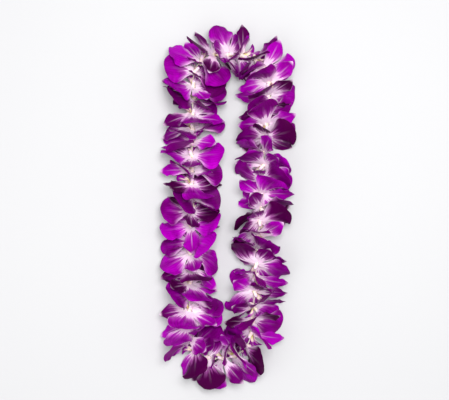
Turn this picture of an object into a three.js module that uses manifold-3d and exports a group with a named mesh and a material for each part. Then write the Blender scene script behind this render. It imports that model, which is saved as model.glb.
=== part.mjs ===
// A fresh orchid lei: dendrobium blooms threaded face to back on one loop of cotton string, laid flat.
// Millimetres, +Z up. The origin is on the surface it lies on, under the middle of its bounding box.
import * as THREE from "three";
import { mergeVertices } from "three/addons/utils/BufferGeometryUtils.js";
import Module from "manifold-3d";

// ---- Driving dimensions -------------------------------------------------------------------------
const BLOOM_COUNT = 50;
const STRING_HEIGHT = 21; // the string's axis above the surface
const STRING_RADIUS = 0.7;
const STRING_SIDES = 5;
const KNOT_RADIUS = 1.9;
const KNOT_SIDES = 6;
const KNOT_RINGS = 4;
const BORE_RADIUS = 1.4; // of the square hole that the needle leaves in a bloom, at its corners
const BORE_SIDES = 4;
const BLADE_THICKNESS = 0.8;

// The string's loop: the corners of a four-sided outline, each rounded off. It runs clockwise, seen
// from above: up the left side, along the top, down the right side and back along the bottom.
const LOOP = [
  { x: -59, y: -208, radius: 37 },
  { x: -52, y: 226, radius: 36 },
  { x: 58, y: 221, radius: 40 },
  { x: 28, y: -208, radius: 42 },
];
const CHORD = 8; // of the loop's arcs
const RING_STEP = 12; // of the string's rings, along it

// The gap inside the loop that stays open: half its width, and its middle line's two ends.
const HOLE = { top: [2, 150], bottom: [-11, -125], halfWidth: 11 };

// How the blooms face. A bloom looks along the string, tilted off it towards an azimuth round it,
// which is 0 straight up and positive towards the outside of the loop.
const AZIMUTHS = [-30, 20, 60, 15, -35, -75, -25]; // degrees, repeated round the loop
const AZIMUTH_SPREAD = 12;
const TILT = 48; // degrees between the bloom's face axis and the string
const TILT_SPREAD = 6;
const ROLL_SPREAD = 75; // degrees that a bloom is turned round its face axis, at most
const SLIDE = 1.5; // how far a bloom sits off its even place along the string, at most
const SEED = 21; // of every draw

// The blades of a bloom. pitch is forward of the face plane at the root, and bend is the turn along
// the blade, in degrees. widest is the share of the length where the blade is widest, claw is how
// narrow its lower part is, and blunt is 0.5 for a round tip and 1 for a pointed one. give is how
// readily it turns among its neighbours. The solid has its points in rows: a share of the length,
// and how many points across.
const SEPAL = {
  length: 40, halfWidth: 10, widest: 0.45, claw: 1.4, blunt: 0.72,
  pitch: -12, bend: -18, cup: 0.1, wave: 0.06, give: 1, rows: [[0.34, 3], [0.7, 3], [1, 1]],
};
const PETAL = {
  length: 42, halfWidth: 19, widest: 0.62, claw: 1.35, blunt: 0.5,
  pitch: -4, bend: -20, cup: -0.1, wave: 0.13, give: 1, rows: [[0.3, 3], [0.6, 5], [0.88, 3], [1, 1]],
};
const LIP = {
  length: 19, halfWidth: 5.4, widest: 0.6, claw: 1.6, blunt: 0.7,
  pitch: 38, bend: -62, cup: 0.45, wave: 0, give: 0.4, rows: [[0.35, 3], [0.7, 3], [1, 1]],
};
const WAVE_LENGTHWISE = 7; // radians of an edge's wave from a blade's root to its tip
// In their order round the face axis, each with the angle of its middle and of its root's two ends.
const BLADES = [
  { kind: SEPAL, angle: 0, root: [-35, 35] },
  { kind: PETAL, angle: 70, root: [35, 104] },
  { kind: SEPAL, angle: 131, root: [104, 155] },
  { kind: LIP, angle: 180, root: [155, 205] },
  { kind: SEPAL, angle: -131, root: [-155, -104] },
  { kind: PETAL, angle: -70, root: [-104, -35] },
];
const ROOT_RADIUS = 3.4; // of the ring that the blades grow from

// The bloom's middle, as rings of radius and height: the chin behind the ring that the blades grow
// from, and the throat and column in front of it.
const CHIN = [[2.9, -5.5], [0, -8.5]];
const COLUMN = [[2.1, 4], [2.2, 7.6], [0, 9.4]];

// How a blade may leave its natural place, to settle among its neighbours.
const SWINGS = [0, -10, 10, -20, 20, -30, 30, -40, 40, -50, 50, -60, 60]; // degrees, along the blade
const SWING_AT_ROOT = 0.6; // shares of a swing that are in the blade's pitch and in its bend
const SWING_IN_BEND = 0.7;
const YAWS = [0, -11, 11, -22, 22]; // degrees round the face axis
const YAW_START = 0.2; // shares of the length between which a blade turns aside
const YAW_FULL = 0.6;
const TWISTS = [0, -20, 20]; // degrees at the tip
const SIZES = [1, 0.86, 0.72];
const YAW_COST = 1.1; // each against 1 for a degree of swing
const TWIST_COST = 0.5;
const SIZE_COST = 300;

// How much room a blade needs round its sample points.
const SAMPLE_STEP = 2.8;
const CLEARANCE = 2.9; // from another bloom's blades
const HEART_CLEARANCE = 5; // from the middle and the throat of another bloom
const THROAT_REACH = 14; // how far in front of a bloom's centre its throat is kept open
const STRING_CLEARANCE = 3;
const STRING_FREE = 0.25; // share of a blade, from its root, that may be at the string
const OWN_CLEARANCE = 1.8; // from the other blades of its own bloom
const OWN_FREE = 0.2; // share of a blade, from its root, that may touch them
const CELL = 5; // of the grid that finds near points, as large as the largest clearance
const CELL_SPAN = 1024; // more cells than the lei is across
const SWEEPS = 4;

// A blade that would go through the surface, but not far, bends along it instead.
const LOWEST = BLADE_THICKNESS / 2;
const DEEPEST = -7;
const PRESS_BAND = 3; // above and below the surface, where it bends

const WELD = 1e-3; // points closer together than this are one

// ---- Small helpers ------------------------------------------------------------------------------
const wasm = await Module();
wasm.setup();

const rad = THREE.MathUtils.degToRad;
const UP = new THREE.Vector3(0, 0, 1);

// A repeatable draw from -1 to 1 for bloom i and purpose k.
function vary(i, k) {
  const x = Math.sin((i + 1) * 12.9898 + k * 78.233 + SEED) * 43758.5453;
  return 2 * (x - Math.floor(x)) - 1;
}

function mix(terms) {
  const sum = new THREE.Vector3();
  for (const [vector, amount] of terms) sum.addScaledVector(vector, amount);
  return sum;
}

// ---- The string's loop --------------------------------------------------------------------------
// The corners of the loop's polyline: a fan of them round each of its arcs.
function loopPoints() {
  const points = [];
  LOOP.forEach((corner, i) => {
    const here = new THREE.Vector2(corner.x, corner.y);
    const before = LOOP[(i + LOOP.length - 1) % LOOP.length];
    const after = LOOP[(i + 1) % LOOP.length];
    const back = new THREE.Vector2(before.x, before.y).sub(here).normalize();
    const on = new THREE.Vector2(after.x, after.y).sub(here).normalize();
    const half = Math.acos(back.dot(on)) / 2;
    const inward = back.clone().add(on).normalize();
    const centre = here.clone().addScaledVector(inward, corner.radius / Math.sin(half));
    const start = here.clone().addScaledVector(back, corner.radius / Math.tan(half));
    const from = Math.atan2(start.y - centre.y, start.x - centre.x);
    const turn = Math.PI - 2 * half;
    const steps = Math.ceil((turn * corner.radius) / CHORD);
    for (let k = 0; k <= steps; k++) {
      const a = from - (turn * k) / steps;
      const x = centre.x + corner.radius * Math.cos(a);
      const y = centre.y + corner.radius * Math.sin(a);
      points.push(new THREE.Vector3(x, y, STRING_HEIGHT));
    }
  });
  return points;
}

const corners = loopPoints();
const loop = new THREE.CurvePath();
corners.forEach((p, i) => loop.add(new THREE.LineCurve3(p, corners[(i + 1) % corners.length])));
const loopLength = loop.getLength();

// ---- Blooms -------------------------------------------------------------------------------------
// Where bloom i sits, and its axes: face forwards, out away from the string on the side it leans to.
function bloomPose(i) {
  const s = ((i + 0.5) / BLOOM_COUNT) * loopLength + SLIDE * vary(i, 1);
  const centre = loop.getPoint(s / loopLength);
  const ahead = loop.getPoint((s + CHORD) / loopLength);
  const tangent = ahead.sub(loop.getPoint((s - CHORD) / loopLength)).normalize();
  const outward = UP.clone().cross(tangent);
  const azimuth = rad(AZIMUTHS[i % AZIMUTHS.length] + AZIMUTH_SPREAD * vary(i, 2));
  const tilt = rad(TILT + TILT_SPREAD * vary(i, 3));
  const lean = mix([[UP, Math.cos(azimuth)], [outward, Math.sin(azimuth)]]);
  const face = mix([[tangent, Math.cos(tilt)], [lean, Math.sin(tilt)]]);
  const out = mix([[tangent, -Math.sin(tilt)], [lean, Math.cos(tilt)]]);
  return { centre, face, out, side: face.clone().cross(out), roll: ROLL_SPREAD * vary(i, 4) };
}

// The direction at an angle round a bloom's face axis.
function radialAt(pose, degrees) {
  const around = rad(degrees + pose.roll);
  return mix([[pose.out, Math.cos(around)], [pose.side, Math.sin(around)]]);
}

// Half the width of a blade at u, from 0 at its root to 1 at its tip.
function halfWidth({ widest, claw, blunt, halfWidth: most }, u) {
  const shape = (t) => (t / widest) ** claw * ((1 - t) / (1 - widest)) ** blunt;
  return (most * shape(u)) / shape(claw / (claw + blunt)); // the shape's own peak
}

// The point of a blade's middle surface at u along it and v across it, from -1 to 1, were it free
// to go through the surface.
function freePoint(pose, blade, set, u, v) {
  const { kind } = blade;
  const length = kind.length * set.size;
  const aside = THREE.MathUtils.clamp((u - YAW_START) / (YAW_FULL - YAW_START), 0, 1);
  const radial = radialAt(pose, blade.angle + kind.give * set.yaw * aside);
  const across = pose.face.clone().cross(radial);
  const pitch = rad(kind.pitch + SWING_AT_ROOT * kind.give * set.swing);
  const bend = rad(kind.bend + SWING_IN_BEND * kind.give * set.swing);
  const angle = pitch + bend * u;
  const along = (length * (Math.sin(angle) - Math.sin(pitch))) / bend;
  const rise = (length * (Math.cos(pitch) - Math.cos(angle))) / bend;
  const normal = mix([[radial, -Math.sin(angle)], [pose.face, Math.cos(angle)]]);
  const width = halfWidth(kind, u) * set.size;
  const ruffle = kind.wave * Math.sign(v) * Math.sin(WAVE_LENGTHWISE * u + set.phase);
  const sag = width * v * v * (kind.cup + ruffle);
  const twist = rad(set.twist) * u;
  return mix([
    [pose.centre, 1],
    [radial, ROOT_RADIUS + along],
    [pose.face, rise],
    [across, width * v * Math.cos(twist) - sag * Math.sin(twist)],
    [normal, width * v * Math.sin(twist) + sag * Math.cos(twist)],
  ]);
}

// The same point where the surface bends the blade along it.
function pressed({ x, y, z }) {
  const over = z - LOWEST;
  const point = new THREE.Vector3(x, y, z);
  if (over < -PRESS_BAND) point.z = LOWEST;
  else if (over < PRESS_BAND) point.z = LOWEST + (over + PRESS_BAND) ** 2 / (4 * PRESS_BAND);
  return point;
}

// ---- Settling the blades ------------------------------------------------------------------------
// Sample points in a grid of cells, so that the near ones are found quickly.
const cells = new Map();
const cellIndex = (x) => Math.floor(x / CELL);
const cellKey = (i, j, k) => (i * CELL_SPAN + j) * CELL_SPAN + k;
const cellOf = ({ x, y, z }) => cellKey(cellIndex(x), cellIndex(y), cellIndex(z));

function addSamples(points) {
  for (const point of points) {
    const key = cellOf(point);
    if (!cells.has(key)) cells.set(key, new Set());
    cells.get(key).add(point);
  }
}

function removeSamples(points) {
  for (const point of points) cells.get(cellOf(point)).delete(point);
}

// The points of a blade, or null where it would be in the loop's gap or too far under the surface.
function bladeSamples(bloom, blade, set) {
  const { kind } = blade;
  const points = [];
  const along = Math.round(kind.length / SAMPLE_STEP);
  for (let i = 1; i <= along; i++) {
    const u = i / along;
    const across = Math.round((2 * halfWidth(kind, u)) / SAMPLE_STEP);
    for (let j = 0; j <= across; j++) {
      const free = freePoint(bloom.pose, blade, set, u, across ? (2 * j) / across - 1 : 0);
      if (free.z < DEEPEST || inHole(free)) return null;
      const { x, y, z } = pressed(free);
      points.push({ x, y, z, u, bloom: bloom.number });
    }
  }
  return points;
}

// The points down the middle of a bloom and out in front of its throat.
function heartSamples({ pose, number }) {
  const [, chinEnd] = CHIN.at(-1);
  const count = Math.round((THROAT_REACH - chinEnd) / SAMPLE_STEP);
  return Array.from({ length: count + 1 }, (_, i) => {
    const height = THREE.MathUtils.lerp(chinEnd, THROAT_REACH, i / count);
    const { x, y, z } = mix([[pose.centre, 1], [pose.face, height]]);
    return { x, y, z, bloom: number, heart: true };
  });
}

function inHole({ x, y }) {
  const [topX, topY] = HOLE.top;
  const [bottomX, bottomY] = HOLE.bottom;
  if (y > topY || y < bottomY) return false;
  const middle = THREE.MathUtils.mapLinear(y, bottomY, topY, bottomX, topX);
  return Math.abs(x - middle) < HOLE.halfWidth;
}

// How far apart two points have to be, where the first is on a blade; 0 if they may touch.
function clearanceOf(point, other) {
  if (other.bloom === undefined) return point.u < STRING_FREE ? 0 : STRING_CLEARANCE;
  if (other.bloom !== point.bloom) return other.heart ? HEART_CLEARANCE : CLEARANCE;
  return other.heart || point.u < OWN_FREE || other.u < OWN_FREE ? 0 : OWN_CLEARANCE;
}

// How much room a blade's points have, as a share of the clearance, and at most 1. It stops
// looking once that is no more than enough.
function roomOf(points, enough) {
  let least = 1;
  for (const point of points) {
    const [ci, cj, ck] = [point.x, point.y, point.z].map(cellIndex);
    for (let i = ci - 1; i <= ci + 1; i++)
      for (let j = cj - 1; j <= cj + 1; j++)
        for (let k = ck - 1; k <= ck + 1; k++)
          for (const other of cells.get(cellKey(i, j, k)) ?? []) {
            const gap = Math.hypot(point.x - other.x, point.y - other.y, point.z - other.z);
            const clearance = clearanceOf(point, other);
            if (gap < least * clearance) least = gap / clearance;
          }
    if (least <= enough) return least;
  }
  return least;
}

// The ways that a blade may lie, the gentlest first.
function choices() {
  const found = [];
  for (const swing of SWINGS)
    for (const yaw of YAWS)
      for (const twist of TWISTS)
        for (const size of SIZES) {
          const turns = Math.abs(swing) + YAW_COST * Math.abs(yaw) + TWIST_COST * Math.abs(twist);
          found.push({ swing, yaw, twist, size, cost: turns + SIZE_COST * (1 - size) });
        }
  return found.sort((a, b) => a.cost - b.cost);
}

// The gentlest way that leaves a blade clear, or else the roomiest.
function settled(bloom, k, ways) {
  let best = { room: -1 };
  for (const way of ways) {
    const set = { ...way, phase: Math.PI * vary(bloom.number, 20 + k) };
    const samples = bladeSamples(bloom, BLADES[k], set);
    const room = samples ? roomOf(samples, best.room) : -1;
    if (room > best.room) best = { room, set, samples };
    if (room >= 1) break;
  }
  return best;
}

// The blooms, with their blades settled one by one. Later sweeps look again at those that still
// lack room, with all the others in place.
function settledBlooms() {
  const ways = choices();
  const numbers = Array.from({ length: BLOOM_COUNT }, (_, i) => i);
  const blooms = numbers.map((number) => ({ number, pose: bloomPose(number), blades: [] }));
  addSamples(loop.getSpacedPoints(Math.round(loopLength / SAMPLE_STEP)));
  for (const bloom of blooms) addSamples(heartSamples(bloom));
  for (let sweep = 0; sweep < SWEEPS; sweep++)
    for (const bloom of blooms)
      BLADES.forEach((_, k) => {
        const before = bloom.blades[k];
        if (before) removeSamples(before.samples);
        const clear = before && roomOf(before.samples, 0) >= 1;
        bloom.blades[k] = clear ? before : settled(bloom, k, ways);
        addSamples(bloom.blades[k].samples);
      });
  return blooms;
}

// ---- Solids -------------------------------------------------------------------------------------
// The triangles between two rows of points, each row spread evenly across the blade.
function stitch(near, far) {
  const triangles = [];
  const share = (k, row) => (row.length > 1 ? (k + 1) / (row.length - 1) : Infinity);
  let i = 0;
  let j = 0;
  while (i < near.length - 1 || j < far.length - 1) {
    const [nextNear, nextFar] = [share(i, near), share(j, far)];
    // The shorter step goes first. Even steps are split alike on both sides of the middle.
    const farFirst = nextFar < nextNear || (nextFar === nextNear && nextFar > 0.5);
    if (j < far.length - 1 && (farFirst || i === near.length - 1)) {
      triangles.push([near[i], far[j + 1], far[j]]);
      j++;
    } else {
      triangles.push([near[i], near[i + 1], far[j]]);
      i++;
    }
  }
  return triangles;
}

// One closed surface round all the blades, the chin and the column of a bloom.
function bloomGeometry({ pose, blades }) {
  const positions = [];
  const index = [];
  const faces = [BLADE_THICKNESS / 2, -BLADE_THICKNESS / 2]; // the front and the back one
  const add = ({ x, y, z }) => positions.push(x, y, z) / 3 - 1;
  const onRing = (degrees, radius, height) =>
    add(mix([[pose.centre, 1], [radialAt(pose, degrees), radius], [pose.face, height]]));
  const ring = BLADES.map(({ root }) => faces.map((height) => onRing(root[0], ROOT_RADIUS, height)));

  BLADES.forEach((blade, k) => {
    const at = (u, v) => pressed(freePoint(pose, blade, blades[k].set, u, v));
    // Rows of points, each point a pair: on the front face and behind it on the back one.
    const pair = (u, v) => {
      const step = 1e-3;
      const n = Math.min(u, 1 - 2 * step);
      const lengthwise = at(n + step, v).sub(at(n - step, v));
      const normal = lengthwise.cross(at(n, v + step).sub(at(n, v - step))).normalize();
      return faces.map((offset) => add(at(u, v).addScaledVector(normal, offset)));
    };
    const rows = blade.kind.rows.map(([u, count]) =>
      Array.from({ length: count }, (_, j) => pair(u, count > 1 ? (2 * j) / (count - 1) - 1 : 0)));
    rows.unshift([ring[k], ring[(k + 1) % ring.length]]);
    for (let r = 1; r < rows.length; r++) {
      const [near, far] = [rows[r - 1], rows[r]];
      for (const [a, b, c] of stitch(near, far)) index.push(a[0], c[0], b[0], a[1], b[1], c[1]);
      const [a, b] = [near[0], far[0]];
      const [c, d] = [near.at(-1), far.at(-1)];
      index.push(a[0], a[1], b[1], a[0], b[1], b[0]); // the rim on one side
      index.push(c[0], d[1], c[1], c[0], d[0], d[1]); // and on the other
    }
  });

  // The column in front of the ring and the chin behind it, each closing to a point.
  [COLUMN, CHIN].forEach((rings, behind) => {
    const triangle = (a, b, c) => index.push(a, ...(behind ? [c, b] : [b, c]));
    let last = ring.map((pair) => pair[behind]);
    for (const [radius, height] of rings.slice(0, -1)) {
      const next = BLADES.map(({ root }) => onRing(root[0], radius, height));
      last.forEach((a, i) => {
        const j = (i + 1) % last.length;
        triangle(a, last[j], next[j]);
        triangle(a, next[j], next[i]);
      });
      last = next;
    }
    const tip = onRing(0, ...rings.at(-1));
    last.forEach((a, i) => triangle(a, last[(i + 1) % last.length], tip));
  });
  return new THREE.BufferGeometry()
    .setAttribute("position", new THREE.Float32BufferAttribute(positions, 3))
    .setIndex(index);
}

function solidOf(geometry) {
  geometry.deleteAttribute("normal");
  geometry.deleteAttribute("uv");
  const merged = mergeVertices(geometry, WELD);
  const vertProperties = merged.attributes.position.array;
  const triVerts = new Uint32Array(merged.index.array);
  return new wasm.Manifold(new wasm.Mesh({ numProp: 3, vertProperties, triVerts }));
}

function geometryOf(solid) {
  const mesh = solid.getMesh();
  return new THREE.BufferGeometry()
    .setAttribute("position", new THREE.BufferAttribute(new Float32Array(mesh.vertProperties), 3))
    .setIndex(new THREE.BufferAttribute(new Uint32Array(mesh.triVerts), 1));
}

// A rod of the loop's whole length. Its two ends meet.
function loopSolid(radius, sides) {
  const rings = Math.round(loopLength / RING_STEP);
  return solidOf(new THREE.TubeGeometry(loop, rings, radius, sides, true));
}

// The bloom with the needle's hole through it. A scrap that the hole cuts off is dropped.
function threaded(bloom, bore) {
  const bodies = solidOf(bloomGeometry(bloom)).subtract(bore).decompose();
  return bodies.sort((a, b) => b.volume() - a.volume())[0];
}

function tiedString() {
  const knot = new THREE.SphereGeometry(KNOT_RADIUS, KNOT_SIDES, KNOT_RINGS).translate(...loop.getPoint(0));
  return loopSolid(STRING_RADIUS, STRING_SIDES).add(solidOf(knot));
}

// ---- Assembly -----------------------------------------------------------------------------------
const petalMaterial = new THREE.MeshStandardMaterial({ name: "petals", color: 0x8a0a94, roughness: 0.5 });
const stringMaterial = new THREE.MeshStandardMaterial({ name: "string", color: 0xe8e2d2, roughness: 0.9 });

const lei = new THREE.Group();

function addPart(name, solid, material) {
  const mesh = new THREE.Mesh(geometryOf(solid), material);
  mesh.name = name;
  lei.add(mesh);
}

const bore = loopSolid(BORE_RADIUS, BORE_SIDES);
for (const bloom of settledBlooms())
  addPart("bloom_" + String(bloom.number + 1).padStart(2, "0"), threaded(bloom, bore), petalMaterial);
addPart("string", tiedString(), stringMaterial);

const box = new THREE.Box3().setFromObject(lei);
lei.position.set(-(box.min.x + box.max.x) / 2, -(box.min.y + box.max.y) / 2, 0);

export default lei;
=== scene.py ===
"""The looks of a fresh orchid lei: fine dendrobium blooms on a twisted cotton string, laid flat.

The solid blooms of the frame are replaced one by one. Each new bloom grows from the same formulas as
its solid, and every one of its blades lies the way that the solid's blade does.
"""

import math

import bmesh
import bpy
import numpy as np
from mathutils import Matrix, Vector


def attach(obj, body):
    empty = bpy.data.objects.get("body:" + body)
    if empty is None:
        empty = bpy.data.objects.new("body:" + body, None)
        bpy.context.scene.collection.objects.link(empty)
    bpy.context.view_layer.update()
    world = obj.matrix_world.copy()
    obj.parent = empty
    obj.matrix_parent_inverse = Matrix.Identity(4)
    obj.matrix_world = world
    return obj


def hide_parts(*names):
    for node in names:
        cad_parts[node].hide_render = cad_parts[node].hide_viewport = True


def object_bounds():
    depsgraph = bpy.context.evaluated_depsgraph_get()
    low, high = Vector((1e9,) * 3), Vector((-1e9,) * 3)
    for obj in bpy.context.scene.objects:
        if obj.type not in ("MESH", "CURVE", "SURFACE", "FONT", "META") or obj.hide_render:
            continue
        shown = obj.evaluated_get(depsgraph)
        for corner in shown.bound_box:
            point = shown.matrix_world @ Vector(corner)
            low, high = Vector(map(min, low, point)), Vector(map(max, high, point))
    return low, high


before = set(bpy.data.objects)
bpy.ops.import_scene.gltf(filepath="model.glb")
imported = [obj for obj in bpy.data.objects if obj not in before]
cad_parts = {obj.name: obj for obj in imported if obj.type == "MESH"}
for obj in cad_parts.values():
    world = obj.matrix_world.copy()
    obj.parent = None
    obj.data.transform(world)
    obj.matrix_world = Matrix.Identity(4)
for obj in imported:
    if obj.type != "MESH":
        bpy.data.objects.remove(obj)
cad_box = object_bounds()

MM = 0.001

# ---- The solids' own dimensions, in millimetres and degrees --------------------------------------
BLOOM_COUNT = 50
STRING_HEIGHT = 21
KNOT_RADIUS = 1.9
BLADE_THICKNESS = 0.8

LOOP = [  # the corners of the string's outline, each x, y and the radius that rounds it
    (-59, -208, 37),
    (-52, 226, 36),
    (58, 221, 40),
    (28, -208, 42),
]
CHORD = 8  # of the loop's arcs

# How the blooms face. A bloom looks along the string, tilted off it towards an azimuth round it,
# which is 0 straight up and positive towards the outside of the loop.
AZIMUTHS = [-30, 20, 60, 15, -35, -75, -25]  # repeated round the loop
AZIMUTH_SPREAD = 12
TILT = 48
TILT_SPREAD = 6
ROLL_SPREAD = 75  # how far a bloom is turned round its face axis, at most
SLIDE = 1.5  # how far a bloom sits off its even place along the string, at most
SEED = 21  # of every draw

# The blades. pitch is forward of the face plane at the root, and bend is the turn along the blade.
# widest is the share of the length where the blade is widest, claw is how narrow its lower part is,
# and blunt is 0.5 for a round tip and 1 for a pointed one. give is how readily it turned among its
# neighbours. A solid blade has its corners in rows: a share of the length, and how many across.
SEPAL = dict(
    length=40, half_width=10, widest=0.45, claw=1.4, blunt=0.72,
    pitch=-12, bend=-18, cup=0.1, wave=0.06, give=1, rows=[(0.34, 3), (0.7, 3), (1, 1)],
)
PETAL = dict(
    length=42, half_width=19, widest=0.62, claw=1.35, blunt=0.5,
    pitch=-4, bend=-20, cup=-0.1, wave=0.13, give=1, rows=[(0.3, 3), (0.6, 5), (0.88, 3), (1, 1)],
)
LIP = dict(
    length=19, half_width=5.4, widest=0.6, claw=1.6, blunt=0.7,
    pitch=38, bend=-62, cup=0.45, wave=0, give=0.4, rows=[(0.35, 3), (0.7, 3), (1, 1)],
)
WAVE_LENGTHWISE = 7  # radians of an edge's wave from a blade's root to its tip
# In their order round the face axis, each with the angle of its middle.
BLADES = [(SEPAL, 0), (PETAL, 70), (SEPAL, 131), (LIP, 180), (SEPAL, -131), (PETAL, -70)]
ROOT_RADIUS = 3.4  # of the ring that the blades grow from
COLUMN_TIP = 9.4  # its height in front of that ring

# The ways that a blade may have settled among its neighbours: swung along its length, turned round
# the face axis, twisted at its tip or made smaller.
SWINGS = [0, -10, 10, -20, 20, -30, 30, -40, 40, -50, 50, -60, 60]
SWING_AT_ROOT = 0.6  # shares of a swing that are in the blade's pitch and in its bend
SWING_IN_BEND = 0.7
YAWS = [0, -11, 11, -22, 22]
YAW_START = 0.2  # shares of the length between which a blade turns aside
YAW_FULL = 0.6
TWISTS = [0, -20, 20]
SIZES = [1, 0.86, 0.72]
WAYS = np.array([(a, b, c, d) for a in SWINGS for b in YAWS for c in TWISTS for d in SIZES], float)

# A blade that would go through the surface that the lei lies on bends along it instead.
LOWEST = BLADE_THICKNESS / 2
PRESS_BAND = 3  # above and below the surface, where it bends

UP = np.array([0, 0, 1.0])


# ---- The formulas that place every blade ---------------------------------------------------------
def vary(i, k):
    """A repeatable draw from -1 to 1 for bloom i and purpose k."""
    x = math.sin((i + 1) * 12.9898 + k * 78.233 + SEED) * 43758.5453
    return 2 * (x - math.floor(x)) - 1


def unit(vector):
    return vector / np.linalg.norm(vector, axis=-1, keepdims=True)


def loop_corners():
    """The corners of the string's polyline: a fan of them round each arc of its outline."""
    points = []
    for i, (x, y, radius) in enumerate(LOOP):
        here = np.array([x, y], float)
        back = unit(np.array(LOOP[i - 1][:2]) - here)
        on = unit(np.array(LOOP[(i + 1) % len(LOOP)][:2]) - here)
        half = math.acos(back @ on) / 2
        centre = here + unit(back + on) * radius / math.sin(half)
        start = here + back * radius / math.tan(half)
        first = math.atan2(*(start - centre)[::-1])
        turn = math.pi - 2 * half
        steps = math.ceil(turn * radius / CHORD)
        for k in range(steps + 1):
            a = first - turn * k / steps
            points.append([*(centre + radius * np.array([math.cos(a), math.sin(a)])), STRING_HEIGHT])
    return np.array(points)


corners = loop_corners()
closed = np.vstack([corners, corners[:1]])
distances = np.concatenate([[0], np.cumsum(np.linalg.norm(np.diff(closed, axis=0), axis=1))])
loop_length = distances[-1]


def on_loop(s):
    """The points of the string's axis at distances s along it."""
    s = np.mod(s, loop_length)
    return np.stack([np.interp(s, distances, closed[:, axis]) for axis in range(3)], axis=-1)


def bloom_pose(i):
    """Where bloom i sits, its axes, and how far it is turned round the face axis."""
    s = (i + 0.5) / BLOOM_COUNT * loop_length + SLIDE * vary(i, 1)
    tangent = unit(on_loop(s + CHORD) - on_loop(s - CHORD))
    outward = np.cross(UP, tangent)
    azimuth = math.radians(AZIMUTHS[i % len(AZIMUTHS)] + AZIMUTH_SPREAD * vary(i, 2))
    tilt = math.radians(TILT + TILT_SPREAD * vary(i, 3))
    lean = UP * math.cos(azimuth) + outward * math.sin(azimuth)
    face = tangent * math.cos(tilt) + lean * math.sin(tilt)
    out = lean * math.cos(tilt) - tangent * math.sin(tilt)
    axes = dict(face=face, out=out, side=np.cross(face, out))
    return dict(number=i, centre=on_loop(s), roll=ROLL_SPREAD * vary(i, 4), **axes)


def radial_at(pose, degrees):
    """The direction at an angle round a bloom's face axis."""
    around = np.radians(degrees + pose["roll"])[..., None]
    return pose["out"] * np.cos(around) + pose["side"] * np.sin(around)


def half_width(kind, u):
    """Half the width of a solid blade at u, from 0 at its root to 1 at its tip."""
    def shape(t):
        rising = (t / kind["widest"]) ** kind["claw"]
        return rising * ((1 - t) / (1 - kind["widest"])) ** kind["blunt"]

    peak = kind["claw"] / (kind["claw"] + kind["blunt"])
    return kind["half_width"] * shape(u) / shape(peak)


def spine(pose, k, way, u, stretch=1):
    """The middle line of blade k at u: its points, and its directions across and out of its face."""
    kind, middle = BLADES[k]
    swing, yaw, _, size = way
    give = kind["give"]
    aside = np.clip((u - YAW_START) / (YAW_FULL - YAW_START), 0, 1)
    radial = radial_at(pose, middle + give * yaw * aside)
    pitch = np.radians(kind["pitch"] + SWING_AT_ROOT * give * swing)
    bend = np.radians(kind["bend"] + SWING_IN_BEND * give * swing)
    angle = (pitch + bend * u)[..., None]
    length = kind["length"] * size * stretch
    along = length * (np.sin(pitch + bend * u) - np.sin(pitch)) / bend
    rise = length * (np.cos(pitch) - np.cos(pitch + bend * u)) / bend
    points = pose["centre"] + radial * (ROOT_RADIUS + along)[..., None] + pose["face"] * rise[..., None]
    normal = pose["face"] * np.cos(angle) - radial * np.sin(angle)
    return points, np.cross(pose["face"], radial), normal


def blade_points(pose, k, way, u, v, width=half_width, stretch=1):
    """The points of blade k's middle surface at u along it and v across it, from -1 to 1."""
    kind = BLADES[k][0]
    points, across, normal = spine(pose, k, way, u, stretch)
    broad = width(kind, u) * way[3]
    phase = math.pi * vary(pose["number"], 20 + k)
    ruffle = kind["wave"] * np.sign(v) * np.sin(WAVE_LENGTHWISE * u + phase)
    sag = broad * v * v * (kind["cup"] + ruffle)
    twist = np.radians(way[2]) * u
    sideways = broad * v * np.cos(twist) - sag * np.sin(twist)
    outwards = broad * v * np.sin(twist) + sag * np.cos(twist)
    return pressed(points + across * sideways[..., None] + normal * outwards[..., None])


def pressed(points):
    """The same points where the surface that the lei lies on bends a blade along it."""
    over = points[..., 2] - LOWEST
    bent = (np.maximum(over, -PRESS_BAND) + PRESS_BAND) ** 2 / (4 * PRESS_BAND)
    points[..., 2] = np.where(over < PRESS_BAND, LOWEST + bent, points[..., 2])
    return points


# ---- Finding each blade in its solid -------------------------------------------------------------
SHORTLIST = 40  # ways that fit a blade's tip, to be tried on its other corners too
WORST_MISS = 1  # that a corner counts for, so that one that is cut away doesn't decide


def solid_corners(name):
    """The corners of a CAD node, in millimetres."""
    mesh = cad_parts[name].data
    corners = np.empty(3 * len(mesh.vertices))
    mesh.vertices.foreach_get("co", corners)
    return np.unique(np.round(corners.reshape(-1, 3) / MM, 4), axis=0)


def bloom_node(i):
    return f"bloom_{i + 1:02d}"


def frame_shift(poses, solids):
    """How far the frame's origin is from the loop's own: a column's tip is known by its height."""
    shifts = []
    for pose, solid in zip(poses, solids):
        tip = pose["centre"] + pose["face"] * COLUMN_TIP
        found = solid[np.abs(solid[:, 2] - tip[2]).argmin()]
        shifts.append((found - tip)[:2])
    return np.array([*np.median(shifts, axis=0), 0])


def way_taken(pose, k, solid):
    """The way that blade k lies: the one that has the solid's corners half a thickness off it."""
    rows = BLADES[k][0]["rows"]
    us = np.concatenate([np.full(count, float(u)) for u, count in rows])
    vs = np.concatenate([np.linspace(-1, 1, count) if count > 1 else [0.0] for _, count in rows])

    def miss(ways, chosen):
        at = blade_points(pose, k, ways.T[:, :, None], us[chosen][None], vs[chosen][None])
        gaps = np.linalg.norm(at[:, :, None] - solid, axis=-1).min(axis=-1)
        return np.minimum(np.abs(gaps - BLADE_THICKNESS / 2), WORST_MISS).mean(axis=-1)

    by_tip = WAYS[np.argsort(miss(WAYS, slice(-1, None)), kind="stable")[:SHORTLIST]]
    return by_tip[miss(by_tip, slice(None)).argmin()]


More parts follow.
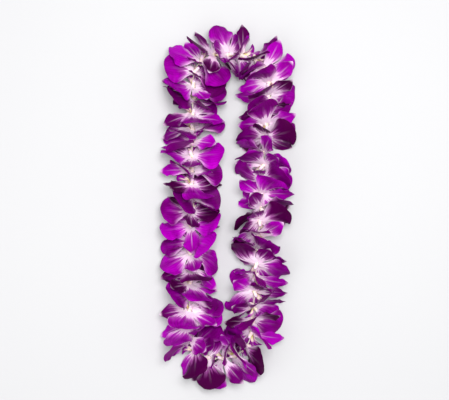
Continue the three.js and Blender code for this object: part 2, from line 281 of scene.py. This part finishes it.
# ---- The fine form of a bloom --------------------------------------------------------------------
# Each kind of blade has this many steps along and across it, a lift of its root in front of the
# ring that it grows from, and its thickness in the middle and at the edge. root is a sepal's or
# petal's half width at the ring, broader is its width against its solid's, and point is the share
# of that width which it loses towards its tip.
FINE = {
    id(SEPAL): dict(
        along=26, across=14, lift=-1.0, thick=0.55, edge=0.24, root=5.6, broader=1.36, point=0.45,
    ),
    id(PETAL): dict(
        along=30, across=20, lift=1.0, thick=0.5, edge=0.2, root=6.6, broader=1.3, point=0.22,
    ),
    id(LIP): dict(along=26, across=18, lift=0.5, thick=0.55, edge=0.25),
}
ROOT_FADE = 0.8  # share of a blade's length where its root still widens it
LIFT_FADE = 0.5  # share of its length where it is still lifted
POINT_FROM = 0.55  # share of its length where it starts to point
TIP_CROWDING = 1.8  # above 1, the rows are closer together at the tip, to round it
TIP_END = 0.9985  # where a sepal or petal ends, just short of having no width
EDGE_THINNING = 4  # the higher, the closer to its sides a blade starts to thin
TIP_THINNING = 6  # and to its tip

GROOVE_DEPTH = 0.35  # of the furrow along the middle of a sepal or petal
GROOVE_WIDTH = 0.9
GROOVE_FADE = (0.5, 1)
PLEAT_DEPTH = 0.09  # of the shallow pleats that fan out from the root
PLEATS = 5.5  # from the middle to an edge
PLEAT_BAND = (0.02, 0.3, 0.75, 1)  # shares of the length where they start, are full, fade and end
RIPPLE = 0.95  # of an edge, at most
RIPPLE_RISE = (0.15, 0.5)
RIPPLE_PHASES = (17, 31)  # radians from root to tip, of the long ripple and of one half as high
SWAY = (0.035, 6)  # of the outline: a share of the width, and radians from root to tip
NICKS = (0.02, 15)  # the same of its finer unevenness

# The lip, by its share of length: half its width along its curved section, and half the angle that
# the section turns through. Its side lobes stand up round the column, and its middle lobe spreads.
LIP_SHARES = [0, 0.12, 0.25, 0.38, 0.48, 0.56, 0.68, 0.8, 0.9, 0.96, 1]
LIP_WIDTHS = [1.8, 4.2, 6.2, 6.6, 5.4, 4.8, 6.4, 7.4, 6.2, 3.6, 0.3]
LIP_CURLS = [1.1, 1.5, 1.8, 1.7, 1.3, 0.9, 0.5, 0.3, 0.3, 0.35, 0.4]
LIP_END = 0.998
KEEL_HEIGHT = 0.4
KEELS = 3
KEEL_REACH = 0.4  # share of the half width that they take up
KEEL_BAND = (0.1, 0.3, 0.6, 0.75)
FRILL = 0.45  # of the lip's edge
FRILL_RISE = (0.5, 0.75)
FRILL_PHASE = 22

# The middle of a bloom as a profile of radius and height, from the column's tip to the chin's end.
HEART = [
    (0, 9.4), (1.1, 9.25), (1.9, 8.8), (2.2, 8.1), (2.0, 7.5), (2.4, 6.9), (2.7, 5.8), (2.6, 4.2),
    (2.4, 2.6), (2.6, 1.6), (3.1, 0.9), (3.6, 0.45), (3.7, -0.2), (3.6, -1.2), (3.4, -2.6),
    (3.1, -4.2), (2.7, -5.6), (2.0, -6.9), (1.0, -7.9), (0, -8.3),
]
HEART_SIDES = 16
CAP_FROM = 7.5  # the height where the column's cap starts
COLUMN_FROM = 0.9  # the height where the column starts
COLUMN_LEAN = 1.3  # of its tip towards the lip
STIGMA_DEPTH = 0.5  # of the hollow under the cap, on the side of the lip
STIGMA_HEIGHT = 5.8
STIGMA_SPREAD = 1.3
WELD = 0.001  # points closer together than this are one, such as those at a pole


def smooth(x, low, high):
    """0 below low, 1 above high and a smooth step between them."""
    t = np.clip((x - low) / (high - low), 0, 1)
    return t * t * (3 - 2 * t)


def band(x, start, full, fade, end):
    """0 outside start and end, and 1 between full and fade."""
    return smooth(x, start, full) * (1 - smooth(x, fade, end))


def fine_width(kind, u):
    """Half a fine blade's width: the solid's, and its root's where that still shows."""
    fine = FINE[id(kind)]
    root = fine["root"] * (1 - smooth(u, 0, ROOT_FADE))
    taper = 1 - fine["point"] * smooth(u, POINT_FROM, 1)
    return np.hypot(fine["broader"] * half_width(kind, u), root) * taper


def grid_normals(points):
    """The directions out of the face of a grid of points, rows by columns."""
    lengthwise = np.gradient(points, axis=0)
    crosswise = np.gradient(points, axis=1)
    normals = np.cross(lengthwise, crosswise)
    normals[-1] = normals[-2]
    return unit(normals)


def leaf_grid(pose, k, draw, stretch):
    """The middle surface of a fine sepal or petal, and its normals."""
    kind = BLADES[k][0]
    fine = FINE[id(kind)]
    rows = 1 - (1 - np.linspace(0, 1, fine["along"] + 1)) ** TIP_CROWDING
    columns = np.linspace(-1, 1, fine["across"] + 1)
    u, v = np.meshgrid(np.minimum(rows, TIP_END), columns, indexing="ij")
    phases = draw.uniform(0, 2 * math.pi, 6)
    sway = SWAY[0] * np.sin(SWAY[1] * u + phases[0] + np.sign(v))
    nicks = NICKS[0] * np.sin(NICKS[1] * u + phases[1] * np.sign(v))
    lean = 1 + sway + nicks
    points = blade_points(pose, k, pose["ways"][k], u, v * lean, fine_width, stretch)
    normals = grid_normals(points)
    broad = fine_width(kind, u)
    groove = np.exp(-((v * broad / GROOVE_WIDTH) ** 2)) * (1 - smooth(u, *GROOVE_FADE))
    pleat = np.cos(2 * math.pi * PLEATS * v) * band(u, *PLEAT_BAND)
    edge = np.abs(v) ** 3 * smooth(u, *RIPPLE_RISE) * broad / kind["half_width"]
    side = np.where(v < 0, phases[2], phases[3])
    coarse, fast = RIPPLE_PHASES
    ripple = edge * (np.sin(coarse * u + side) + 0.5 * np.sin(fast * u + 2 * side + phases[4]))
    lift = fine["lift"] * (1 - smooth(u, 0, LIFT_FADE))
    height = -GROOVE_DEPTH * groove + PLEAT_DEPTH * pleat + RIPPLE * ripple + lift
    return pressed(points + normals * height[..., None]), normals, u, v


def lip_grid(pose, k, draw, stretch):
    """The middle surface of a fine lip, and its normals."""
    fine = FINE[id(LIP)]
    rows = np.linspace(0, LIP_END, fine["along"] + 1)
    u, v = np.meshgrid(rows, np.linspace(-1, 1, fine["across"] + 1), indexing="ij")
    points, across, normal = spine(pose, k, pose["ways"][k], u, stretch)
    broad = np.interp(u, LIP_SHARES, LIP_WIDTHS)
    curl = np.interp(u, LIP_SHARES, LIP_CURLS)
    radius = broad / curl
    phase = draw.uniform(0, 2 * math.pi, 2)
    frill = np.abs(v) ** 3 * smooth(u, *FRILL_RISE) * np.sin(FRILL_PHASE * u + np.where(v < 0, *phase))
    keel = np.cos(KEELS * math.pi * v / (2 * KEEL_REACH)) * (np.abs(v) < KEEL_REACH)
    keel = np.maximum(keel * band(u, *KEEL_BAND), 0)
    lift = fine["lift"] * (1 - smooth(u, 0, LIFT_FADE)) + FRILL * frill + KEEL_HEIGHT * keel
    points = points + across * (radius * np.sin(curl * v))[..., None]
    points = pressed(points + normal * (radius * (1 - np.cos(curl * v)) + lift)[..., None])
    return points, grid_normals(points), u, v


class Mesh:
    """Points and four-sided faces, gathered piece by piece, with where each point is on its blade."""

    def __init__(self):
        self.points, self.faces, self.slots, self.places, self.draws = [], [], [], [], []
        self.count = 0

    def add(self, points, faces, slot, places, draws):
        """A piece, whose faces are in one material slot or in one each."""
        self.points.append(points.reshape(-1, 3))
        self.faces.append(np.asarray(faces) + self.count)
        self.slots.append(np.full(len(faces), slot) if np.isscalar(slot) else slot)
        self.places.append(places.reshape(-1, 2))
        self.draws.append(np.tile(draws, (points.size // 3, 1)))
        self.count += points.size // 3

    def to_object(self, name, materials, sharp_degrees):
        """A Blender object of all the pieces. What rounds past the solids' box ends on it."""
        mesh = bpy.data.meshes.new(name)
        faces = np.concatenate(self.faces)
        points = np.clip((np.concatenate(self.points) + shift) * MM, *cad_box)
        mesh.from_pydata(points, [], faces)
        for material in materials:
            mesh.materials.append(material)
        mesh.polygons.foreach_set("material_index", np.concatenate(self.slots).astype(np.int32))
        mesh.polygons.foreach_set("use_smooth", np.ones(len(faces), bool))
        loops = np.empty(len(mesh.loops), np.int32)
        mesh.loops.foreach_get("vertex_index", loops)
        places = np.concatenate(self.places)
        mesh.uv_layers.new(name="place").data.foreach_set("uv", places[loops].astype(np.float32).ravel())
        draws = mesh.attributes.new("draws", "FLOAT_COLOR", "POINT")
        draws.data.foreach_set("color", np.concatenate(self.draws).astype(np.float32).ravel())
        form = bmesh.new()
        form.from_mesh(mesh)
        bmesh.ops.remove_doubles(form, verts=form.verts, dist=WELD * MM)
        form.to_mesh(mesh)
        form.free()
        mesh.set_sharp_from_angle(angle=math.radians(sharp_degrees))
        mesh.validate()
        made = bpy.data.objects.new(name, mesh)
        bpy.context.scene.collection.objects.link(made)
        return made


def grid_faces(rows, columns, start=0, flip=False):
    """The faces of a grid of points that are numbered row by row."""
    i, j = np.meshgrid(np.arange(rows - 1), np.arange(columns - 1), indexing="ij")
    a = (start + i * columns + j).ravel()
    quads = np.stack([a, a + columns, a + columns + 1, a + 1], axis=1)
    return quads[:, ::-1] if flip else quads


def add_blade(mesh, kind, grid, front_slot, draws):
    """A blade as a closed shell: its front, its back and the rim between them."""
    middle, normals, u, v = grid
    fine = FINE[id(kind)]
    margin = np.maximum(np.abs(v) ** EDGE_THINNING, u ** TIP_THINNING)
    half = (fine["thick"] * (1 - margin) + fine["edge"] * margin) / 2
    front = middle + normals * half[..., None]
    back = middle - normals * half[..., None]
    rows, columns = u.shape
    size = rows * columns
    inner = grid_faces(rows, columns)
    outer = grid_faces(rows, columns, size, flip=True)
    index = np.arange(size).reshape(rows, columns)
    rim = np.concatenate([index[:, 0], index[-1, 1:], index[-2::-1, -1], index[0, -2:0:-1]])
    after = np.roll(rim, -1)
    edges = np.stack([rim, rim + size, after + size, after], axis=1)[:, ::-1]
    faces = np.concatenate([inner, outer, edges])
    back_slot = front_slot if kind is LIP else BACK
    slots = np.concatenate([np.full(len(inner), front_slot), np.full(len(outer) + len(edges), back_slot)])
    place = np.stack([u, (v + 1) / 2], axis=-1)
    mesh.add(np.stack([front, back]), faces, slots, np.stack([place, place]), draws)


def add_heart(mesh, pose, draws):
    """The column, the ring that the blades grow from and the chin, turned as one closed form."""
    radius, height = (np.array(values, float)[:, None] for values in zip(*HEART))
    around = np.arange(HEART_SIDES) * 360 / HEART_SIDES
    towards_lip = np.maximum(-np.cos(np.radians(around)), 0)
    under_cap = np.exp(-(((height - STIGMA_HEIGHT) / STIGMA_SPREAD) ** 2))
    hollow = STIGMA_DEPTH * under_cap * towards_lip
    lean = COLUMN_LEAN * np.maximum(height / COLUMN_TIP, 0) ** 2
    points = (
        pose["centre"]
        + radial_at(pose, around)[None] * (radius - hollow)[..., None]
        + radial_at(pose, np.array(180.0)) * lean[..., None]
        + pose["face"] * height[..., None]
    )
    index = np.arange(len(HEART) * HEART_SIDES).reshape(len(HEART), HEART_SIDES)
    wrapped = np.concatenate([index, index[:, :1]], axis=1)
    corners_of_quads = [wrapped[:-1, :-1], wrapped[1:, :-1], wrapped[1:, 1:], wrapped[:-1, 1:]]
    quads = np.stack(corners_of_quads, axis=-1)
    middle = (height[:-1] + height[1:]) / 2 + np.zeros(HEART_SIDES)
    slots = np.where(middle > CAP_FROM, CAP, np.where(middle > COLUMN_FROM, COLUMN, CHIN))
    place = np.stack(np.broadcast_arrays(height / COLUMN_TIP, around / 360), axis=-1)
    mesh.add(points, quads.reshape(-1, 4), slots.ravel(), place, draws)


# ---- Materials -----------------------------------------------------------------------------------
def colour(red, green, blue):
    """A colour as a screen shows it, 0 to 255, as a shader's linear one."""
    shares = [value / 255 for value in (red, green, blue)]
    return (*(x / 12.92 if x <= 0.04045 else ((x + 0.055) / 1.055) ** 2.4 for x in shares), 1)


VIVID = colour(184, 0, 192)  # a petal's purple at its brightest
DEEP = colour(116, 0, 114)
MAROON = colour(66, 0, 57)
BLUSH = colour(252, 226, 246)
LILAC = colour(242, 130, 234)
BACK_PALE = colour(250, 220, 244)
BACK_PURPLE = colour(134, 4, 130)
CREAM = colour(240, 226, 196)
LEMON = colour(214, 206, 120)
GREENISH = colour(204, 202, 160)
CAP_PINK = colour(236, 196, 232)
COTTON = colour(236, 230, 214)
COTTON_SHADE = colour(206, 198, 178)
FLOOR = colour(201, 201, 202)
FLOOR_SHADE = colour(197, 197, 199)

# How fine each noise is, in waves to the metre.
PATCHES = 60  # of a petal's deeper and brighter purple
PETAL_GRAIN = 1800
MOTTLES = 350  # of the flesh in a bloom's middle
WAX_GRAIN = 1500
FIBRES = 2500
PAPER_CLOUDS = 1.3


class Shader:
    """A material's nodes, added one at a time. Each call returns the new node's output."""

    def __init__(self, name, settings):
        self.material = bpy.data.materials.new(name)
        self.material.use_nodes = True
        self.tree = self.material.node_tree
        self.surface = self.tree.nodes["Principled BSDF"]
        for socket, value in settings.items():
            self.surface.inputs[socket].default_value = value

    def add(self, kind, inputs, output=0, **properties):
        node = self.tree.nodes.new(kind)
        for name, value in properties.items():
            setattr(node, name, value)
        for socket, value in dict(inputs).items():
            self.put(node.inputs[socket], value)
        return node.outputs[output]

    def put(self, socket, value):
        """A number, a colour or another node's output into a socket."""
        if isinstance(value, bpy.types.NodeSocket):
            self.tree.links.new(value, socket)
        else:
            socket.default_value = value

    def math(self, operation, *values):
        return self.add("ShaderNodeMath", enumerate(values), operation=operation)

    def times(self, a, b):
        return self.math("MULTIPLY", a, b)

    def line(self, x, slope, start):
        """start where x is 0, and slope more where it is 1."""
        return self.math("MULTIPLY_ADD", x, slope, start)

    def most(self, first, *others):
        for other in others:
            first = self.math("MAXIMUM", first, other)
        return first

    def rise(self, x, low, high):
        """0 where x is at low and 1 where it is at high."""
        limits = {"Value": x, "From Min": low, "From Max": high}
        return self.add("ShaderNodeMapRange", limits, interpolation_type="SMOOTHSTEP")

    def fall(self, x, low, high):
        """1 where x is at low and 0 where it is at high."""
        return self.math("SUBTRACT", 1, self.rise(x, low, high))

    def mix(self, share, a, b):
        """Colour a where share is 0 and colour b where it is 1."""
        return self.add("ShaderNodeMix", {0: share, 6: a, 7: b}, output=2, data_type="RGBA")

    def noise(self, vector, scale, detail=2):
        inputs = {"Vector": vector, "Scale": scale, "Detail": detail}
        return self.add("ShaderNodeTexNoise", inputs)

    def split(self, vector):
        return self.add("ShaderNodeSeparateXYZ", {0: vector}).node.outputs

    def join(self, *values):
        return self.add("ShaderNodeCombineXYZ", enumerate(values))

    def place(self):
        """How far along its blade a point is, and how far across, from -1 to 1."""
        along, across, _ = self.split(self.add("ShaderNodeUVMap", {}, uv_map="place"))
        return along, self.line(across, 2, -1)

    def draws(self):
        """Three numbers from 0 to 1 that are the same all over a blade, and unlike its neighbours'."""
        return self.split(self.add("ShaderNodeAttribute", {}, attribute_name="draws"))

    def object_place(self):
        return self.add("ShaderNodeTexCoord", {}, output=3)

    def bump(self, height, strength, depth):
        """Relief in the shading, with its depth in millimetres."""
        inputs = {"Strength": strength, "Distance": depth * MM, "Height": height}
        self.put(self.surface.inputs["Normal"], self.add("ShaderNodeBump", inputs))

    def paint(self, value):
        self.put(self.surface.inputs["Base Color"], value)


PETAL_FINISH = {
    "Roughness": 0.45,
    "Specular IOR Level": 0.025,
    "Subsurface Weight": 0.1,
    "Subsurface Radius": (1.0, 0.15, 0.9),
    "Subsurface Scale": 1.0 * MM,
}


def seed_of(shader, draw):
    """A blade's draw, spread far enough for neighbours to have noise of their own."""
    return shader.times(draw, 50)


def veins(shader, u, v, seed, count):
    """Fine lines that fan out from a blade's root, from 0 between them to 1 along them."""
    drift = shader.noise(shader.join(shader.times(u, 2.5), v, seed), 2.2)
    phase = shader.math("MULTIPLY_ADD", drift, 5, shader.times(v, count * math.pi))
    return shader.rise(shader.math("SINE", phase), 0.35, 1)


def streaks(shader, u, v, seed):
    """Broad soft lines along a blade, from 0 to 1."""
    stretched = shader.join(shader.times(v, 3.4), shader.times(u, 0.7), seed)
    return shader.rise(shader.noise(stretched, 1.6, 3), 0.3, 0.72)


def petal_purple(shader, u, vein, tint):
    """Bright or deep purple, in patches, with maroon veins and a darker end on the dusky blades."""
    patch = shader.noise(shader.object_place(), PATCHES)
    deep = shader.math("MULTIPLY_ADD", tint, 0.9, shader.line(patch, 0.8, -0.4))
    purple = shader.mix(shader.rise(deep, 0.05, 0.7), VIVID, DEEP)
    purple = shader.mix(shader.times(vein, 0.25), purple, MAROON)
    dusk = shader.math("MULTIPLY_ADD", shader.rise(u, 0.3, 1), 0.25, shader.rise(tint, 0.5, 0.85))
    return shader.mix(shader.times(dusk, 0.85), purple, MAROON)


def pale_share(shader, u, broad, white, length, middle_line, tip):
    """How pale a blade's front is: at its root, and by its draw along its middle, sides and end. The thin
    pale rim at the very edge is painted light shining through the thin petal.
    """
    root = shader.fall(u, shader.times(length, 0.62), length)
    thread = shader.times(shader.fall(broad, 0.015, 0.12), shader.fall(u, 0.2, 0.9))
    side = shader.times(shader.rise(broad, 0.62, 0.98), shader.fall(u, 0.2, 0.65))
    side = shader.times(side, shader.rise(white, 0.12, 0.6))
    # edge: a thin pale rim at the very edge of blades with a high whiteness draw, painted light shining
    # through the thin petal
    edge = shader.times(shader.rise(broad, 0.94, 1), shader.rise(white, 0.55, 1.4))
    point = shader.times(shader.rise(u, 0.88, 1), shader.times(white, tip))
    return shader.most(root, shader.times(thread, middle_line), side, edge, point)


def petal_front(name, reach, middle_line, tip):
    """Purple with a pale root that breaks up into streaks. reach is the least length of that root
    as a share of the blade's, and middle_line and tip are how pale the blade is there."""
    shader = Shader(name, PETAL_FINISH)
    u, v = shader.place()
    tint, white, draw = shader.draws()
    seed = seed_of(shader, draw)
    broad = shader.math("ABSOLUTE", v)
    vein = veins(shader, u, v, seed, count=11)
    streak = streaks(shader, u, v, seed)

    length = shader.line(shader.rise(white, 0.15, 0.85), 0.2, reach)
    length = shader.math("MULTIPLY_ADD", streak, 0.22, length)
    glow = shader.times(shader.fall(u, 0.12, shader.math("ADD", length, 0.24)), 0.75)
    glow = shader.times(glow, shader.line(streak, 0.6, 0.4))
    purple = shader.mix(glow, petal_purple(shader, u, vein, tint), LILAC)
    pale = shader.mix(shader.times(shader.times(vein, 0.5), shader.rise(u, 0.04, 0.25)), BLUSH, VIVID)
    share = pale_share(shader, u, broad, white, length, middle_line, tip)
    shader.paint(shader.mix(share, purple, pale))

    grain = shader.noise(shader.object_place(), PETAL_GRAIN, 1)
    relief = shader.math("SUBTRACT", shader.times(grain, 0.5), vein)
    shader.bump(relief, strength=0.35, depth=0.12)
    return shader.material


def petal_back():
    """The back of a sepal or petal: pale at its root on some, purple on most, with veins."""
    shader = Shader("petal_back", PETAL_FINISH)
    u, v = shader.place()
    tint, white, draw = shader.draws()
    vein = veins(shader, u, v, seed_of(shader, draw), count=9)
    start = shader.times(shader.rise(white, 0.55, 0.9), 0.6)
    body = shader.rise(u, start, shader.math("ADD", start, 0.25))
    rim = shader.times(shader.rise(shader.math("ABSOLUTE", v), 0.6, 1), shader.rise(u, 0.1, 0.4))
    share = shader.most(body, shader.times(rim, 0.8), shader.times(vein, 0.3))
    purple = shader.mix(shader.times(tint, 0.8), BACK_PURPLE, MAROON)
    shader.paint(shader.mix(share, BACK_PALE, purple))
    shader.bump(vein, strength=0.3, depth=0.15)
    return shader.material


def lip_front():
    """Lemon and cream in the throat, then purple with a pale middle."""
    shader = Shader("lip_front", PETAL_FINISH)
    u, v = shader.place()
    tint, white, draw = shader.draws()
    broad = shader.math("ABSOLUTE", v)
    vein = veins(shader, u, v, seed_of(shader, draw), count=13)
    throat = shader.times(shader.fall(u, 0.32, shader.line(white, 0.2, 0.5)), shader.fall(broad, 0.7, 1))
    keel = shader.times(shader.fall(broad, 0.08, 0.34), shader.fall(u, 0.45, 0.9))
    dark = shader.math("MULTIPLY_ADD", tint, 0.5, shader.times(vein, 0.4))
    purple = shader.mix(dark, VIVID, MAROON)
    inner = shader.mix(shader.fall(u, 0.05, 0.35), CREAM, LEMON)
    inner = shader.mix(shader.times(vein, shader.rise(u, 0.1, 0.4)), inner, BLUSH)
    shader.paint(shader.mix(shader.most(throat, keel), purple, inner))
    shader.bump(vein, strength=0.3, depth=0.12)
    return shader.material


def waxy(name, near, far, finish):
    """The smooth pale flesh of a bloom's middle, mottled from one colour to another."""
    shader = Shader(name, {**PETAL_FINISH, **finish})
    mottle = shader.noise(shader.object_place(), MOTTLES, 3)
    shader.paint(shader.mix(shader.rise(mottle, 0.35, 0.7), near, far))
    shader.bump(shader.noise(shader.object_place(), WAX_GRAIN), strength=0.2, depth=0.1)
    return shader.material


def cotton():
    finish = {"Roughness": 0.9, "Sheen Weight": 0.3, "Specular IOR Level": 0.2}
    shader = Shader("string_cotton", finish)
    fibres = shader.noise(shader.object_place(), FIBRES, 3)
    shader.paint(shader.mix(shader.rise(fibres, 0.3, 0.75), COTTON, COTTON_SHADE))
    shader.bump(fibres, strength=0.5, depth=0.2)
    return shader.material


def floor_paper():
    shader = Shader("floor_paper", {"Roughness": 0.75, "Specular IOR Level": 0.2})
    shade = shader.noise(shader.object_place(), PAPER_CLOUDS)
    shader.paint(shader.mix(shade, FLOOR, FLOOR_SHADE))
    return shader.material


# The slots of a bloom's mesh.
PETAL_FRONT, SEPAL_FRONT, BACK, LIP_FRONT, COLUMN, CAP, CHIN = range(7)
bloom_materials = [
    petal_front("petal_front", reach=0.1, middle_line=0.1, tip=0.0),
    petal_front("sepal_front", reach=0.14, middle_line=0.5, tip=1.0),
    petal_back(),
    lip_front(),
    waxy("column", CREAM, BLUSH, {"Roughness": 0.3}),
    waxy("column_cap", BLUSH, CAP_PINK, {"Roughness": 0.25}),
    waxy("chin", GREENISH, BACK_PALE, {"Roughness": 0.4}),
]


# ---- The pieces ----------------------------------------------------------------------------------
EDGE_ANGLE = 50  # between faces that meet in a crisp edge, in degrees
ROUND_ALL_OVER = 180
STRETCHES = [1.1, 1.05, 1]  # of a fine blade's length against its solid's


def in_cad_box(points):
    """Whether all the points are inside the solids' box."""
    low, high = (np.array(corner) / MM - shift for corner in cad_box)
    return ((points >= low) & (points <= high)).all()


def blade_grid(pose, k):
    """The grid of the longest fine blade that stays inside the solids' box."""
    make = lip_grid if BLADES[k][0] is LIP else leaf_grid
    for stretch in STRETCHES:
        grid = make(pose, k, np.random.default_rng([SEED, pose["number"], k]), stretch)
        if in_cad_box(grid[0]):
            break
    return grid


FRONT_SLOTS = {id(PETAL): PETAL_FRONT, id(SEPAL): SEPAL_FRONT, id(LIP): LIP_FRONT}


def fine_bloom(pose):
    """One bloom. The tint and whiteness of a blade are half the bloom's draw and half its own."""
    draw = np.random.default_rng([SEED, pose["number"]])
    tone = draw.uniform(0, 1, 3)
    mesh = Mesh()
    for k, (kind, _) in enumerate(BLADES):
        own = draw.uniform(0, 1, 3)
        draws = np.array([*((tone + own) / 2)[:2], own[2], 1])
        add_blade(mesh, kind, blade_grid(pose, k), FRONT_SLOTS[id(kind)], draws)
    add_heart(mesh, pose, np.array([*tone, 1]))
    return mesh.to_object(f"orchid_{pose['number'] + 1:02d}", bloom_materials, EDGE_ANGLE)


STRANDS = 3
STRAND_RADIUS = 0.36
STRAND_OFFSET = 0.36  # of a strand's own axis from the string's
KNOT_STRAND_RADIUS = 0.54
LAY = 4.2  # the string's length for one turn of a strand
STRAND_STEP = 0.6
STRAND_SIDES = 6
KNOT_STEPS = 90
TREFOIL_REACH = 3  # of the formula's curve from its middle


def tube(mesh, path, radius, sides, draws):
    """A closed ring of tube along a path whose last point leads back to its first."""
    ahead = unit(np.roll(path, -1, axis=0) - np.roll(path, 1, axis=0))
    across = unit(np.cross(ahead, UP))
    above = np.cross(across, ahead)
    around = np.arange(sides) * 2 * math.pi / sides
    ring = across[:, None] * np.cos(around)[:, None] + above[:, None] * np.sin(around)[:, None]
    points = path[:, None] + radius * ring
    index = np.arange(len(path) * sides).reshape(len(path), sides)
    turned = np.roll(index, -1, axis=0)
    quads = np.stack([index, turned, np.roll(turned, -1, axis=1), np.roll(index, -1, axis=1)], axis=-1)
    place = np.zeros((*points.shape[:2], 2))
    mesh.add(points, quads.reshape(-1, 4), 0, place, draws)


def twisted_string():
    """Strands laid round each other along the loop, and the knot that closes it."""
    mesh = Mesh()
    none = np.array([0, 0, 0, 1])
    turns = round(loop_length / LAY)
    s = np.linspace(0, loop_length, round(loop_length / STRAND_STEP), endpoint=False)
    axis = on_loop(s)
    across = unit(np.cross(on_loop(s + CHORD) - on_loop(s - CHORD), UP))
    for strand in range(STRANDS):
        turn = 2 * math.pi * (turns * s / loop_length + strand / STRANDS)
        offset = across * np.cos(turn)[:, None] + UP * np.sin(turn)[:, None]
        tube(mesh, axis + STRAND_OFFSET * offset, STRAND_RADIUS, STRAND_SIDES, none)
    t = np.linspace(0, 2 * math.pi, KNOT_STEPS, endpoint=False)
    trefoil = [np.sin(t) + 2 * np.sin(2 * t), np.cos(t) - 2 * np.cos(2 * t), -np.sin(3 * t)]
    knot = on_loop(0.0) + np.stack(trefoil, axis=-1) * (KNOT_RADIUS - STRAND_RADIUS) / TREFOIL_REACH
    tube(mesh, knot, KNOT_STRAND_RADIUS, STRAND_SIDES, none)
    return mesh.to_object("twisted_string", [cotton()], ROUND_ALL_OVER)


poses = [bloom_pose(i) for i in range(BLOOM_COUNT)]
solids = [solid_corners(bloom_node(i)) for i in range(BLOOM_COUNT)]
shift = frame_shift(poses, solids)
for pose, solid in zip(poses, solids):
    pose["ways"] = [way_taken(pose, k, solid - shift) for k in range(len(BLADES))]
    bloom = fine_bloom(pose)
    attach(bloom, "root")
    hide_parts(bloom_node(pose["number"]))

string = twisted_string()
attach(string, "root")
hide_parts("string")


# ---- The floor, the light and the camera, in metres ----------------------------------------------
FLOOR_SIZE = 20
CAMERA_HEIGHT = 1.33
FRAME_WIDTH = 0.638  # that the camera sees at the height of the blooms' middle
FRAME_MIDDLE = (-0.0049, 0.0094)
SENSOR = 36


def floor():
    """A plain pale sheet of paper under the lei."""
    bpy.ops.mesh.primitive_plane_add(size=FLOOR_SIZE)
    plane = bpy.context.object
    plane.name = "floor"
    plane.data.materials.append(floor_paper())


def softbox(name, place, size, power):
    """A square soft light that looks at the lei's middle."""
    light = bpy.data.lights.new(name, "AREA")
    light.shape = "SQUARE"
    light.size = size
    light.energy = power
    lamp = bpy.data.objects.new(name, light)
    lamp.location = place
    lamp.rotation_euler = (-lamp.location).to_track_quat("-Z", "Y").to_euler()
    bpy.context.scene.collection.objects.link(lamp)


def surroundings(strength):
    """White light from all round."""
    world = bpy.data.worlds.new("studio")
    world.use_nodes = True
    sky = world.node_tree.nodes["Background"]
    sky.inputs["Color"].default_value = (1, 1, 1, 1)
    sky.inputs["Strength"].default_value = strength
    bpy.context.scene.world = world


def camera():
    """A camera that looks straight down on the lei."""
    data = bpy.data.cameras.new("camera")
    data.sensor_width = SENSOR
    data.lens = SENSOR * (CAMERA_HEIGHT - STRING_HEIGHT * MM) / FRAME_WIDTH
    view = bpy.data.objects.new("camera", data)
    view.location = (*FRAME_MIDDLE, CAMERA_HEIGHT)
    bpy.context.scene.collection.objects.link(view)
    bpy.context.scene.camera = view


floor()
# The lights' power is in watts.
softbox("key", place=(0.16, 0.28, 1.75), size=0.7, power=33)
softbox("fill", place=(-0.8, -0.5, 1.5), size=1.2, power=6)
surroundings(strength=0.58)
camera()
bpy.context.scene.view_settings.view_transform = "Standard"
